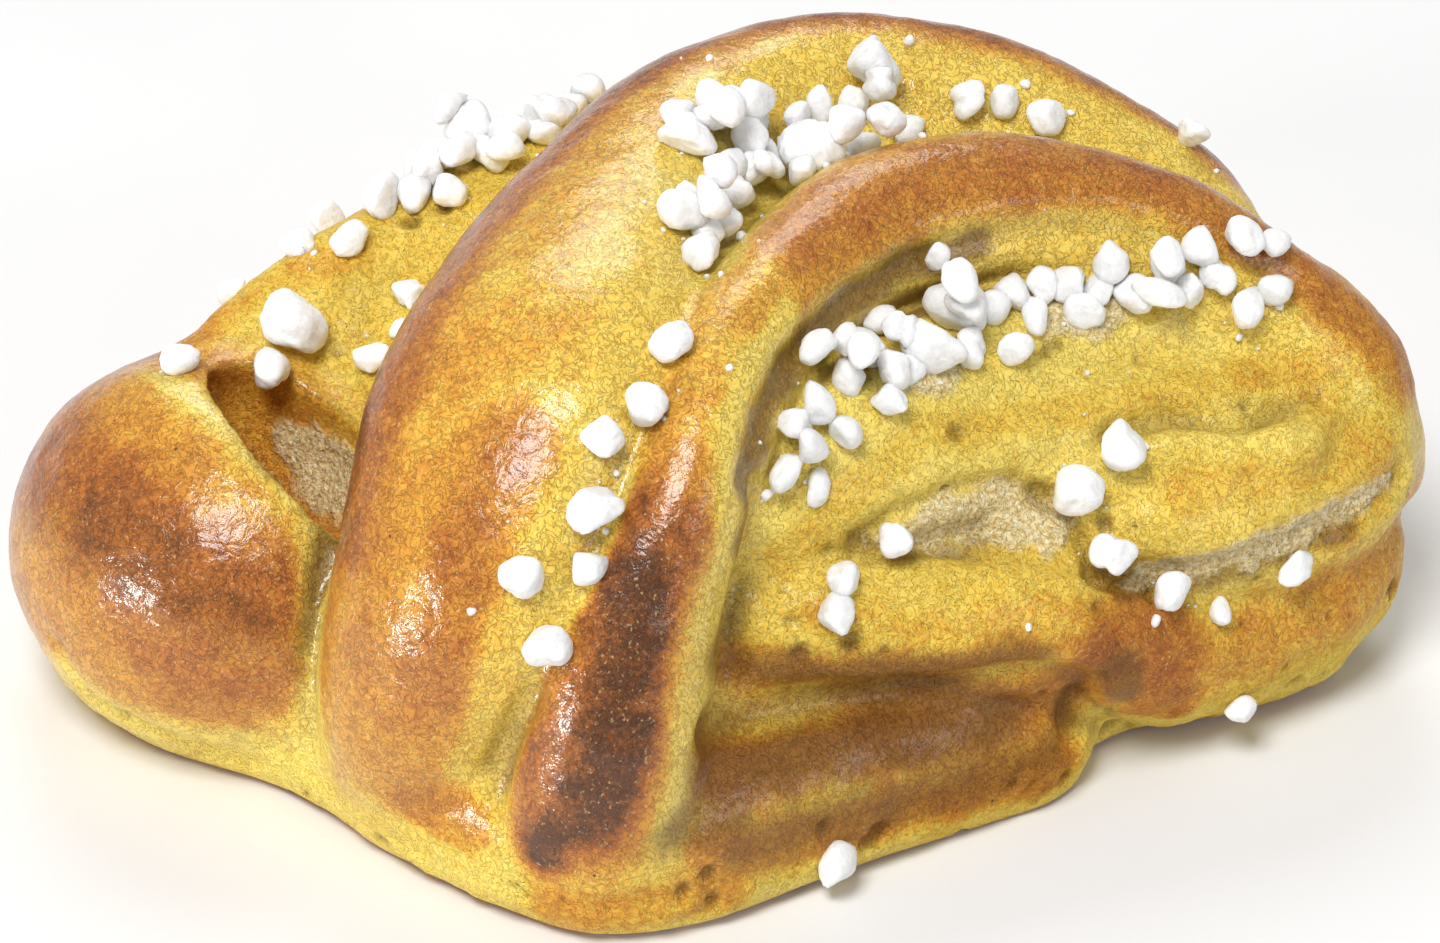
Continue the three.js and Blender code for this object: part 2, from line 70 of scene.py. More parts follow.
FOLDS = [
    dict(name="left_rim", melt=2.0, tone=0.3, skin=(10, 10), side=0.22, cut=0.8, crest=[
        (-27, -36, 20, 7, 9), (-28.5, -29, 24, 6, 9), (-28, -19, 27.5, 6, 9),
        (-26.5, -7, 29.5, 7, 9), (-24.5, 4, 31, 7, 9), (-21, 15, 31.5, 7, 9),
        (-17, 26, 28.5, 8, 9), (-13, 35, 21, 9, 9), (-10, 39, 12, 10, 9), (-9, 39, 3, 10, 9)]),
    dict(name="left_lip", melt=1.2, tone=(0.45, 0.5, 0.5, 0.45, 0.25), skin=(35, 95), side=0.15,
         cut=0.0, crest=[
        (-30, -38, 20, 4, 7), (-26, -39, 23, 4, 7), (-21, -40, 24, 4, 7),
        (-15.5, -40.5, 22.8, 4, 7), (-10.5, -41.5, 19.5, 4, 7), (-7, -43, 14, 4, 7),
        (-5, -43, 8, 4, 7)]),
    dict(name="middle", melt=1.2, tone=(0.4, 0.55, 0.5, 0.45, 0.42, 0.45, 0.55, 0.55, 0.5, 0.4),
         skin=(62, 40), side=0.2, cut=0.0, crest=[
        (5, -41.5, 3, 9, 9), (5.5, -43, 10, 9, 9), (7.5, -42.3, 19, 10, 9),
        (7.5, -38.5, 27.8, 10.8, 8), (4.3, -32.2, 35, 11.2, 7), (0.5, -24.5, 39, 11.8, 7),
        (-4.5, -15, 40.5, 11, 7), (-9, -4.5, 41, 9.5, 7), (-12, 6, 41.2, 8, 7),
        (-9, 18, 41, 6.5, 7), (0, 28, 38.5, 6.5, 7), (9, 34, 34, 6.5, 7), (16, 38, 28, 6.5, 7),
        (20, 39, 18, 7, 8), (19, 38, 6, 8, 8)]),
    dict(name="right", melt=1.0, tone=(0.55, 0.85, 0.6, 0.45, 0.5, 0.5, 0.45, 0.4),
         skin=(50, 45), side=0.2, cut=0.0, crest=[
        (22, -37, 3, 7, 7), (22.8, -37.7, 9, 7.5, 7), (22.2, -35.6, 18, 7, 7),
        (21, -31, 26, 6, 7), (20, -25, 32.5, 5, 6), (17, -19, 37, 5, 6), (14, -12, 39.5, 5, 6),
        (12, -4, 40.5, 5.5, 6), (11.3, 4.7, 41.3, 6, 6), (13.5, 13, 41.1, 6, 6),
        (17.5, 19.5, 39.6, 5.5, 6), (23.6, 26, 36.2, 5.5, 6), (30, 30, 31.6, 5, 6),
        (35, 32.5, 26, 4.5, 5), (38, 34.5, 19.5, 4, 5), (38.5, 35, 14.5, 3.5, 4)]),
    dict(name="inner", melt=1.0, face=(1, -1, 1), tone=0.04, skin=(60, 60), side=0.15, cut=0.7,
         crest=[
        (19, -19, 27, 5, 5), (20.5, -14, 29, 7, 7), (22, -7, 30, 8, 8), (23.3, 5, 29.7, 8, 8.5),
        (25, 13.5, 30, 7.5, 8), (28.5, 21, 29.5, 7, 7.5), (33, 25, 28, 6.5, 7),
        (37, 27, 25, 6, 6)]),
    dict(name="inner_flank", melt=1.5, face=(1, -1, 1), tone=0.08, skin=(60, 60), side=0.15,
         cut=0.7, crest=[
        (21, -15, 26, 5, 7), (24.5, -7, 27, 6, 7), (27.5, 4, 26.7, 5, 7), (30, 12, 26.8, 4, 7),
        (34, 19.5, 26, 4, 7), (38, 23.5, 24, 4, 6)]),
    dict(name="inner_return", melt=1.2, face=(1, -1, 1), tone=0.18, skin=(60, 60), side=0.15,
         cut=0.6, crest=[
        (38, 27, 23.5, 6, 6), (39.5, 23, 21.5, 6.5, 6), (39, 17, 20.8, 6.5, 6),
        (36.5, 10.5, 20.8, 6, 6), (32, 5, 21, 5, 6), (28, 0, 22, 4, 6)]),
    dict(name="tongue", melt=1.0, face=(1, -1, 1), tone=0.08, skin=(60, 60), side=0.15, cut=0.7,
         crest=[
        (28, 2, 24, 2, 4), (31.5, 9, 24.6, 3, 4.5), (35.2, 14.5, 24.6, 3, 4.5),
        (39, 19.5, 23.8, 3, 4.5)]),
    dict(name="lower", melt=1.0, face=(1, -1, 1), tone=(0.2, 0.2, 0.22, 0.3, 0.45, 0.35),
         skin=(60, 60), side=0.3, cut=0.7, crest=[
        (20, -25, 19, 5, 6), (22, -21, 19.5, 5.5, 6), (25, -17, 19.5, 6, 6),
        (29, -11, 19, 6, 6), (33, -5, 18, 6, 6), (36, 1, 16.5, 6, 6), (38.3, 8, 13.5, 6.5, 7),
        (39.3, 13.5, 12.5, 7, 8), (40, 20, 13, 7, 8), (39, 26, 15, 7, 8)]),
    dict(name="lower_back", melt=2.0, tone=0.4, skin=(50, 50), side=0.3, cut=0.4, crest=[
        (38.5, 18, 13.5, 7, 9), (38, 25, 15.5, 8, 9), (34, 31, 16, 8, 9), (29, 35, 16, 8, 9)]),
    dict(name="bottom", melt=0.9, face=(1, -1, 0.5), tone=0.52, skin=(70, 50), side=0.3,
         cut=0.8, crest=[
        (21, -32, 6, 6, 6), (24.5, -26.5, 6, 6.5, 6), (28.3, -19.5, 6, 6.5, 6),
        (31.5, -13, 6, 6.5, 6), (34, -6, 6, 6.5, 6), (35.4, -2, 6, 6.3, 6)]),
    dict(name="left_face", melt=2.0, tone=0.2, skin=(60, 60), side=0.2, cut=1.0, crest=[
        (-20, -31, 18.5, 8, 8), (-20, -20, 24, 8, 8), (-20, -13, 27, 8, 8),
        (-19, 1, 31, 8, 8), (-17, 12, 33, 9, 8), (-11, 24, 31, 9, 8)]),
    dict(name="groove_floor", melt=2.0, tone=0.15, skin=(60, 60), side=0.15, cut=0.8, crest=[
        (15, -30, 26, 4, 8), (11.5, -20, 36.5, 5, 8), (5, -8, 37.5, 6, 8), (1, 2, 37, 6, 8),
        (0, 10, 36.5, 6, 8), (3, 20, 35.5, 6, 8), (10.5, 28, 33.5, 6, 8),
        (19, 35, 29.5, 5, 8)]),
]

MIDDLE = np.array([2.0, -2.0, 10.0])  # crests look straight out from here

# Rounded masses: centre, half sizes, melt, and the same baking values.
HEART = dict(centre=(0, -2, 10), half=(28, 36, 22), melt=3.0, tone=0.3, cut=0.3)
LEFT_LOBE = dict(centre=(-19, -34.5, 11.5), half=(17.5, 15, 15), melt=1.5, tone=0.62, cut=0.0)
POCKET = dict(centre=(-12.5, -32, 22.5), half=(10, 4.5, 8), melt=1.0)  # a hollow

# The foot: plan of the dough near the base.
FOOT_PLAN = [
    (-30, -36), (-22, -44), (-12, -43.5), (-3, -41.5), (7, -41), (16, -39.8), (23.5, -36.8),
    (28, -30.5), (30.3, -22), (32.3, -13.5), (34, -5), (33.5, 2), (34, 9), (35.5, 15), (36, 22),
    (34.5, 28), (30, 35), (22, 40), (10, 41), (0, 41), (-10, 39), (-20, 34), (-27, 24),
    (-31, 10), (-32, -5), (-31.5, -20)]
FOOT = dict(centre=(2, -1), top=13, rounding=8, lower_rounding=2.5, tone=0.12, cut=0.3)

# ---------------------------------------------------------------- distances


def catmull_rom(points, steps, closed=False):
    """A smooth curve through the rows, with that many steps between each two."""
    p = np.asarray(points, float)
    if closed:
        p = np.vstack([p[-1], p, p[0], p[1]])
    else:
        p = np.vstack([2 * p[0] - p[1], p, 2 * p[-1] - p[-2]])
    t = (np.arange(steps) / steps)[None, :, None]
    a, b, c, d = (p[i:len(p) - 3 + i, None] for i in range(4))
    curve = 0.5 * (2 * b + (c - a) * t + (2 * a - 5 * b + 4 * c - d) * t**2
                   + (3 * b - a - 3 * c + d) * t**3)
    curve = curve.reshape(-1, p.shape[1])
    return curve if closed else np.vstack([curve, p[-2]])


def blend(a, b, k):
    """The smaller of two distances, rounded off over the length k where they meet."""
    h = np.clip(0.5 + 0.5 * (b - a) / k, 0, 1)
    return b * (1 - h) + a * h - k * h * (1 - h)


def ellipsoid_distance(x, y, z, a, b, c):
    inside = np.sqrt((x / a) ** 2 + (y / b) ** 2 + (z / c) ** 2) + 1e-6
    slope = np.sqrt((x / a**2) ** 2 + (y / b**2) ** 2 + (z / c**2) ** 2) + 1e-6
    return inside * (inside - 1) / slope


def mass_distance(p, mass):
    x, y, z = (p - np.asarray(mass["centre"], np.float32)).T
    return ellipsoid_distance(x, y, z, *mass["half"])


class Fold:
    """A fold as a row of elliptical stations under its crest."""

    STEPS = 5
    REACH = 5.0  # how far from a fold its distance still matters

    def __init__(self, crest, face=None, **looks):
        self.looks = looks
        self.melt = looks["melt"]
        rows = catmull_rom(crest, self.STEPS)
        top, self.a, self.b = rows[:, :3], rows[:, 3], rows[:, 4]
        along = np.gradient(top, axis=0)
        along /= np.linalg.norm(along, axis=1)[:, None]
        up = top - MIDDLE if face is None else np.tile(np.array(face, float), (len(top), 1))
        up -= (up * along).sum(1)[:, None] * along
        up /= np.linalg.norm(up, axis=1)[:, None]
        self.frames = [np.cross(along, up), up, along]
        self.middle = top - up * self.b[:, None]
        girth = self.REACH + np.maximum(self.a, self.b)[:, None]
        self.low = (self.middle - girth).min(0)
        self.high = (self.middle + girth).max(0)

    def near(self, p):
        return np.flatnonzero(((p > self.low) & (p < self.high)).all(1))

    def measure(self, p):
        """Distance, degrees round the crest and place along it, from 0 to 1, of points near it."""
        total = np.zeros(len(p), np.float32)
        sums = np.zeros((6, len(p)), np.float32)
        last = len(self.middle) - 1
        # each station counts by a weight that falls off so steeply that the nearest ones rule
        for i, middle in enumerate(self.middle):
            away = p - middle.astype(np.float32)
            weight = 1e9 / (np.einsum("ij,ij->i", away, away) + 0.5) ** 6
            total += weight
            for j, axes in enumerate(self.frames):
                sums[j] += weight * (away @ axes[i].astype(np.float32))
            for j, value in enumerate((self.a[i], self.b[i], i / last)):
                sums[3 + j] += weight * value
        across, height, along, a, b, part = sums / total
        distance = ellipsoid_distance(across, height, along, a, b, np.minimum(a, b))
        return distance, np.degrees(np.arctan2(across / a, height / b)), part


folds = [Fold(**fold) for fold in FOLDS]

rim = catmull_rom(FOOT_PLAN, 6, closed=True) - np.array(FOOT["centre"])
RIM_ANGLE, RIM_RADIUS = np.arctan2(rim[:, 1], rim[:, 0]), np.hypot(*rim.T)


def rounded_edge(out, up, r):
    a, b = out + r, up + r
    return (np.minimum(np.maximum(a, b), 0)
            + np.hypot(np.maximum(a, 0), np.maximum(b, 0)) - r)


def foot_distance(p):
    x, y = (p[:, :2] - np.array(FOOT["centre"])).T
    radius = np.interp(np.arctan2(y, x), RIM_ANGLE, RIM_RADIUS, period=2 * math.pi)
    out = 0.93 * (np.hypot(x, y) - radius)
    return np.maximum(rounded_edge(out, p[:, 2] - FOOT["top"], FOOT["rounding"]),
                      rounded_edge(out, -p[:, 2], FOOT["lower_rounding"]))


def dough_distance(p):
    """How far points are from the dough's surface, in mm: less than zero inside."""
    p = p.astype(np.float32)
    d = foot_distance(p)
    for mass in (HEART, LEFT_LOBE):
        d = blend(d, mass_distance(p, mass), mass["melt"])
    for fold in folds:
        here = fold.near(p)
        d[here] = blend(d[here], fold.measure(p[here])[0], fold.melt)
    d = -blend(-d, mass_distance(p, POCKET), POCKET["melt"])
    return np.maximum(d, -p[:, 2])


def way_out(p):
    """The dough's outward direction at moulded points."""
    e = 0.5 * np.eye(3)
    slope = np.stack([dough_distance(p + e[i]) - dough_distance(p - e[i]) for i in range(3)], 1)
    return slope / np.linalg.norm(slope, axis=1)[:, None]


# ---------------------------------------------------------------- noise


GRADIENTS = random.normal(size=(256, 3)).astype(np.float32)
GRADIENTS /= np.linalg.norm(GRADIENTS, axis=1)[:, None]


def noise(p, size, seed=0):
    """Smooth noise from about -1 to 1 at points in mm, with features about size mm across.

    Each grid corner draws one of the GRADIENTS by a hash of its place.
    """
    q = p / size + seed * 31.7
    cell = np.floor(q).astype(np.int64)
    f = q - cell
    ease = f * f * f * (f * (f * 6 - 15) + 10)
    total = 0
    for corner in np.ndindex(2, 2, 2):
        c = np.array(corner)
        key = ((cell + c) * np.array([73856093, 19349663, 83492791])).sum(1)
        key = ((key ^ (key >> 15)) * 2654435761 >> 7) & 255
        weight = np.prod(np.where(c, ease, 1 - ease), axis=1)
        total = total + weight * ((f - c) * GRADIENTS[key]).sum(1)
    return total * 1.7


def smooth_step(low, high, x):
    t = np.clip((x - low) / (high - low), 0, 1)
    return t * t * (3 - 2 * t)


# ---------------------------------------------------------------- the dough's surface


GRID_LOW = np.array([-40.0, -54.0, -2.0])  # corner of a box that holds all of the dough, mm
GRID_SPAN = np.array([88, 102, 50])
FAR = 5  # stands for any distance away from the surface, mm


def grid_distances():
    """The distance field on a grid of CELL, worked out in full only close to the surface."""
    coarse = 4  # cells along one side of a block that is looked at first
    n = np.ceil(GRID_SPAN / (CELL * coarse)).astype(int) + 1
    axes = [GRID_LOW[i] + CELL * coarse * np.arange(n[i]) for i in range(3)]
    points = np.stack(np.meshgrid(*axes, indexing="ij"), -1).reshape(-1, 3)
    rough = dough_distance(points).reshape(n)
    close = np.abs(rough) < 1.6 * CELL * coarse
    for axis in range(3):
        close |= np.roll(close, 1, axis) | np.roll(close, -1, axis)
    block = np.ones((coarse,) * 3, bool)
    close = np.kron(close, block)
    field = np.kron(np.sign(rough) * FAR, block).astype(np.float32)
    low = GRID_LOW - CELL * (coarse - 1) / 2
    field[close] = dough_distance(low + CELL * np.argwhere(close))
    return field, low


def surface_net(field, low):
    """Corners and quads of the surface where the field changes sign."""
    inside = field < 0
    n = np.array(field.shape)
    count = sum(inside[a:n[0] - 1 + a, b:n[1] - 1 + b, c:n[2] - 1 + c].astype(np.int8)
                for a, b, c in np.ndindex(2, 2, 2))
    mixed = (count > 0) & (count < 8)
    cells = np.argwhere(mixed)
    index = np.full(mixed.shape, -1)
    index[mixed] = np.arange(len(cells))
    # a corner lies at the mean of the places where the surface crosses its cell's edges
    total = np.zeros((len(cells), 3))
    crossings = np.zeros(len(cells))
    for axis in range(3):
        step = np.eye(3, dtype=int)[axis]
        for offset in np.ndindex(2, 2, 2):
            if offset[axis]:
                continue
            start = cells + np.array(offset)
            a, b = field[tuple(start.T)], field[tuple((start + step).T)]
            cross = (a < 0) != (b < 0)
            t = a[cross] / (a[cross] - b[cross])
            total[cross] += np.array(offset) + t[:, None] * step
            crossings[cross] += 1
    corners = low + CELL * (cells + total / crossings[:, None])
    # a quad joins the four cells round each grid edge that the surface crosses
    quads = []
    for axis in range(3):
        step = np.eye(3, dtype=int)[axis]
        u, v = np.eye(3, dtype=int)[(axis + 1) % 3], np.eye(3, dtype=int)[(axis + 2) % 3]
        near = inside[tuple(slice(1, n[i] - 1) for i in range(3))]
        far = inside[tuple(slice(1 + step[i], n[i] - 1 + step[i]) for i in range(3))]
        at = np.argwhere(near != far) + 1
        ring = [index[tuple((at - k).T)] for k in (0 * u, u, u + v, v)]
        quad = np.stack(ring, 1)
        outwards = inside[tuple(at.T)]
        quads.append(np.where(outwards[:, None], quad, quad[:, ::-1]))
    return corners, np.vstack(quads)


def corner_normals(corners, quads):
    a, b, c, d = (corners[quads[:, i]] for i in range(4))
    face = np.cross(c - a, d - b)
    normal = np.zeros_like(corners)
    for i in range(4):
        for axis in range(3):
            normal[:, axis] += np.bincount(quads[:, i], face[:, axis], len(corners))
    return normal / np.maximum(np.linalg.norm(normal, axis=1), 1e-9)[:, None]


def relax(corners, quads, rounds, keep):
    """Evens out the net: each corner moves towards the middle of its neighbours."""
    edges = np.vstack([quads[:, [i, (i + 1) % 4]] for i in range(4)])
    count = np.bincount(edges[:, 0], minlength=len(corners))
    for _ in range(rounds):
        mean = np.stack([np.bincount(edges[:, 0], corners[edges[:, 1], i], len(corners))
                         for i in range(3)], 1) / count[:, None]
        moved = corners + 0.5 * (mean - corners)
        corners = np.where(keep[:, None], corners, moved)
    return corners


# ---------------------------------------------------------------- baking


def line_distance(p, line):
    """Distance of points from a line of points."""
    line = np.asarray(line, float)
    if len(line) == 1:
        return np.linalg.norm(p - line[0], axis=1)
    best = np.full(len(p), 1e9)
    for a, b in zip(line[:-1], line[1:]):
        t = np.clip((p - a) @ (b - a) / ((b - a) @ (b - a)), 0, 1)
        best = np.minimum(best, np.linalg.norm(p - a - t[:, None] * (b - a), axis=1))
    return best


def fold_looks(p):
    """Tone and cut of the dough at points, from the folds that reach the surface there."""
    spread = 0.7  # mm over which one fold's looks pass into the next one's
    distances = [foot_distance(p)]
    tones = [np.full(len(p), FOOT["tone"])]
    cuts = [np.full(len(p), FOOT["cut"])]
    for mass in (HEART, LEFT_LOBE):
        distances.append(mass_distance(p, mass))
        tones.append(np.full(len(p), mass["tone"]))
        cuts.append(np.full(len(p), mass["cut"]))
    for fold in folds:
        looks = fold.looks
        distance, tone, cut = np.full(len(p), 9.0), np.zeros(len(p)), np.zeros(len(p))
        here = fold.near(p)
        distance[here], degrees, part = fold.measure(p[here].astype(np.float32))
        values = np.atleast_1d(looks["tone"])
        crest = np.interp(part, np.linspace(0, 1, len(values)), values)
        left, right = looks["skin"]
        soft = 14  # degrees over which the skin gives way
        skin = ((1 - smooth_step(left - soft, left + soft, -degrees))
                * (1 - smooth_step(right - soft, right + soft, degrees)))
        tone[here] = looks["side"] + (crest - looks["side"]) * skin
        cut[here] = looks["cut"]
        distances.append(distance)
        tones.append(tone)
        cuts.append(cut)
    distances = np.array(distances)
    weight = np.exp(-(distances - distances.min(0)) / spread)
    weight /= weight.sum(0)
    return (weight * np.array(tones)).sum(0), (weight * np.array(cuts)).sum(0)


# Brush strokes on the surface: a line of points, its half width, the tone it turns the dough to
# and how fully, in the order they are laid on.
TONES = [
    # left slice: dark shoulder, yellow rim, seam and foot
    ([(-36, -37, 14), (-34, -36, 18), (-32, -36, 21), (-30, -30, 23.5)], 6, 0.85, 0.8),
    ([(-34, -43, 11), (-31, -43, 17), (-24, -44, 21.5)], 6, 0.84, 0.85),
    ([(-18, -46, 21), (-11, -44.5, 19), (-7, -42, 18), (-4.5, -39.5, 17.5)], 6.5, 0.88, 0.85),
    ([(-12, -47, 14), (-7, -45, 12.5), (-4, -42.5, 12)], 4.5, 0.78, 0.75),
    ([(-27, -46, 14), (-22, -48.5, 12), (-15, -49, 10)], 4.5, 0.50, 0.5),
    ([(-21, -49, 5.5), (-14, -47.5, 4.5), (-8, -45, 4), (-2, -42, 3)], 4.5, 0.06, 0.85),
    ([(-23.5, -36, 26), (-17.5, -36.5, 26.5), (-12.5, -37, 25.5), (-8, -36.5, 23)], 1.5, 0.1, 0.9),
    ([(-5.5, -36, 21.5), (-3, -38.5, 17.5), (-0.5, -41.5, 13.5), (-1.5, -41.5, 6)],
     2.6, 0.04, 0.95),
    ([(-2, -39, 21), (-0.5, -41, 17), (0.5, -42, 12), (1, -42, 7)], 2.0, 0.12, 0.9),
    # middle slice: brown shoulder, pale glazed saddle whose pale tone is partly painted sheen,
    # golden front
    ([(2, -22, 39.5), (5, -17, 40), (1, -12, 40.5), (-2, -6, 40.5)], 6, 0.16, 0.8),
    ([(4, -33, 33.5), (8, -27, 35)], 4, 0.20, 0.6),
    ([(-1, -38.5, 26), (-4.5, -33, 31), (-8, -26, 35), (-11, -17, 37.5), (-13.5, -7, 39),
      (-15, 3, 40)], 5.2, 0.92, 0.95),
    ([(2, -39.5, 27), (-1, -33.5, 33.5), (-4.5, -27, 37), (-9, -18, 40), (-12.5, -8, 41.5),
      (-15, 2, 42)], 4.0, 0.78, 0.8),
    ([(6, -35, 35), (4, -28, 39.5), (0, -19, 42), (-4.5, -9, 43)], 5.0, 0.5, 0.6),
    ([(-13, 3, 40.5), (-12, 12, 41), (-7, 20, 40.5), (1, 28, 38.5), (9.5, 34, 34.5),
      (16, 38, 28), (20, 39, 18)], 4.0, 0.86, 0.95),
    ([(-4, 31, 36), (5, 38, 30), (14, 42, 22), (19, 43, 14)], 7, 0.76, 0.8),
    ([(7, -43, 21), (8, -42.5, 15), (9, -41.5, 10)], 4.5, 0.60, 0.75),
    ([(10, -40.5, 8), (14, -39.5, 7.5)], 3.5, 0.66, 0.8),
    ([(9.5, -31, 34), (11, -36, 29), (12, -39.5, 23), (12, -41, 17)], 4.5, 0.72, 0.9),
    ([(4, -35.5, 31), (5.5, -39.5, 26), (6.5, -42, 20)], 3.5, 0.60, 0.6),
    ([(15, -36, 25), (15, -38, 20), (14, -38.5, 14)], 2.5, 0.30, 0.8),
    ([(8, -9, 38.5), (3, -3, 39), (-1, 5, 39), (-6, 3, 41)], 3.5, 0.08, 0.8),
    ([(-7, 11, 41), (-2, 18, 40), (4, 23, 38.5), (10, 28, 36.5), (15, 32, 34)], 2.2, 0.15, 0.7),
    # right slice: brown crest, dark end, yellow edges
    ([(17, -21, 36), (14, -14, 39), (12, -7, 40.5)], 3.4, 0.40, 0.8),
    ([(12, -4, 41), (12, 3, 41.5), (14.5, 11, 41), (18, 18, 39.5), (24, 25, 36), (31, 30, 31),
      (37, 33, 24)], 5.2, 0.74, 0.85),
    ([(19.5, -27, 30.5), (21, -31, 25.5), (22.5, -34.5, 19), (23, -36.5, 13)], 5.2, 0.85, 0.95),
    ([(21, -29.5, 27), (22.3, -32, 23.5), (23.3, -33.8, 19.5), (24, -35.5, 14)], 3.6, 1.0, 1.0),
    ([(18, -34, 23), (18, -36, 18)], 2.2, 0.66, 0.8),
    ([(23.4, -36.3, 14.5), (23.5, -36.8, 11), (21.5, -37.8, 10.5), (20.5, -38, 8.5)],
     3.4, 1.0, 0.9),
    ([(15.5, -25.5, 32), (17, -28.5, 30), (17.6, -31.5, 26.5), (17, -34.5, 22.5),
      (15.8, -36.7, 17.5), (14.3, -37.5, 12.5)], 1.3, 0.12, 0.9),
    ([(26, -32.5, 10), (25.8, -30, 14), (24.6, -26.2, 17.5), (23.5, -23.5, 22),
      (22.8, -22.5, 27), (21.5, -22, 31), (19, -19.5, 34.8), (17, -15.5, 36.8), (15.8, -10, 38)],
     1.9, 0.08, 0.95),
    # rolled layers: toasted crests, brown flanks near the base
    ([(21.5, -16, 23), (23, -11, 27), (23.6, -4, 28.8), (26.5, 5.5, 27.7), (29.7, 13, 27.3),
      (33, 21, 27)], 2.2, 0.34, 0.75),
    ([(33, 21, 27.5), (36, 26, 26)], 3, 0.45, 0.7),
    ([(35, 12, 22), (38, 17, 22), (39.5, 22, 22)], 3, 0.40, 0.7),
    ([(25, -16.5, 20), (28, -13.5, 19), (31, -9, 18), (33, -5.5, 18), (35, 0, 17.5),
      (37, 5.5, 15.5)], 2.0, 0.40, 0.8),
    ([(37.3, 2, 14), (38.7, 7, 12), (38.5, 6.5, 8)], 5.5, 0.78, 0.9),
    ([(23, -22, 17), (27.5, -15, 15.5), (31.5, -9, 15), (34.5, -3.5, 15)], 2.6, 0.60, 0.85),
    ([(26, -27, 12), (28, -20.5, 11), (30.5, -13, 10.5), (33, -5.5, 9.5), (35, 0, 9)],
     4.5, 0.72, 0.9),
    ([(27.5, -29, 7), (30, -22, 5.5), (32, -14.5, 5), (33.7, -8, 4.5), (35.5, -1, 4)],
     3.5, 0.70, 0.85),
    ([(21, -38, 3), (26, -34, 3.5), (28.5, -29, 4)], 4, 0.58, 0.8),
    ([(41, 17, 10.5), (41.5, 23, 11.5), (40, 30, 12), (36, 35, 12)], 6, 0.52, 0.8),
    ([(39, 24, 24), (41, 27, 19), (41.5, 22, 17)], 3.5, 0.46, 0.7),
    # far side
    ([(-30, -14, 20), (-30, 2, 21), (-27, 16, 20), (-20, 29, 18), (-10, 38, 16)], 9, 0.58, 0.85),
    ([(-2, 42, 14), (10, 42, 14), (22, 42, 14), (32, 37, 14)], 8, 0.50, 0.8),
    ([(-27, -20, 27.5), (-26.5, -7, 29.5), (-24, 5, 31), (-21, 15, 31.5), (-17, 26, 28.5)],
     2.5, 0.30, 0.8),
    # sunken face of the left slice
    ([(-27.5, -30, 25), (-25.5, -24, 27.5), (-22, -18, 29.5)], 3, 0.5, 0.6),
    ([(-20, -32, 24), (-22, -34, 25)], 3, 0.7, 0.7),
]

# Creases and swellings: a line of points, the half width and how far it is pressed in, mm.
CREASES = [
    ([(-22, -33, 24.5), (-17.5, -35.3, 24.5), (-12.5, -35.5, 23.5), (-8, -35, 20.5)], 1.3, 0.9),
    ([(-5.5, -36.5, 20), (-3.5, -39.3, 16.5), (-1.5, -41.3, 12), (-1.6, -41.5, 6)], 1.0, 0.3),
    ([(-20.5, -49.5, 9.5), (-19, -48.6, 6.2), (-14, -47.7, 5), (-9.9, -44.6, 3.6)], 1.3, 0.6),
    ([(17.3, -36.2, 19), (15.8, -37.3, 14), (15.3, -38, 9.5)], 1.4, 0.7),
    ([(24.3, -22.5, 17), (22.6, -19.8, 24), (21.3, -17.5, 30)], 1.6, 0.9),
    ([(21.5, -19.5, 31.5), (19.7, -16, 34.3), (17.8, -11.5, 35.7), (16.6, -5, 36.5),
      (16.8, 3, 36.8), (18.5, 10.5, 37), (22, 17, 36.5), (26.5, 23, 34), (31, 27, 31)], 1.8, 0.9),
    ([(24, -11, 23.5), (25.4, -7.9, 25), (26.8, -2.7, 25.2), (28, 1.5, 24.2), (30.2, 4.2, 22)],
     1.2, 0.9),
    ([(24, -11.5, 22.3), (26.5, -6, 21), (29.7, -2.4, 20.2), (32, 0.5, 19.6), (34.5, 3.9, 18.3)],
     1.1, 0.6),
    ([(29, 2.5, 22.8), (31, 4, 21.3), (32.7, 4, 19.5), (34.5, 4, 18.3)], 1.1, 0.8),
    ([(29.9, 8.9, 25.5), (31.7, 13.8, 26), (35.5, 17, 25.6), (36, 21.2, 25.4), (37, 24.3, 25.4)],
     1.3, 1.0),
    ([(34.5, 4, 18.3), (36, 7.6, 16.8), (37.7, 10.1, 16.8), (39.5, 13.4, 17),
      (40.9, 17.5, 17.8), (42, 22.9, 18.4), (41.9, 28.3, 18.6)], 1.8, 1.2),
    ([(25.5, -26, 15), (25, -21.2, 13.8), (28, -13.8, 12.8), (30.5, -9.2, 12.7),
      (33.3, -6.3, 13.3), (35.3, -2.9, 13), (36, 0.6, 10.5), (35.8, 0.4, 6)], 1.9, 1.3),
    ([(35.8, 0.4, 8), (35.8, 0.2, 3)], 1.0, 0.5),
    # swellings
    ([(18.9, -12, 30.8), (19.6, -7.8, 31.6), (20.9, -4, 31.3)], 2.5, -0.4),
    ([(33.3, 12.5, 24.3), (36.5, 16.1, 23.6), (38.2, 21.9, 23.4)], 2.2, -0.5),
    ([(-10.5, -46.5, 16.9)], 1.0, -0.3), ([(-5.6, -44.1, 12.3)], 0.8, -0.3),
    ([(-6.3, -44.5, 13)], 0.6, -0.25), ([(-3.6, -39.7, 17.2)], 0.8, -0.25),
]
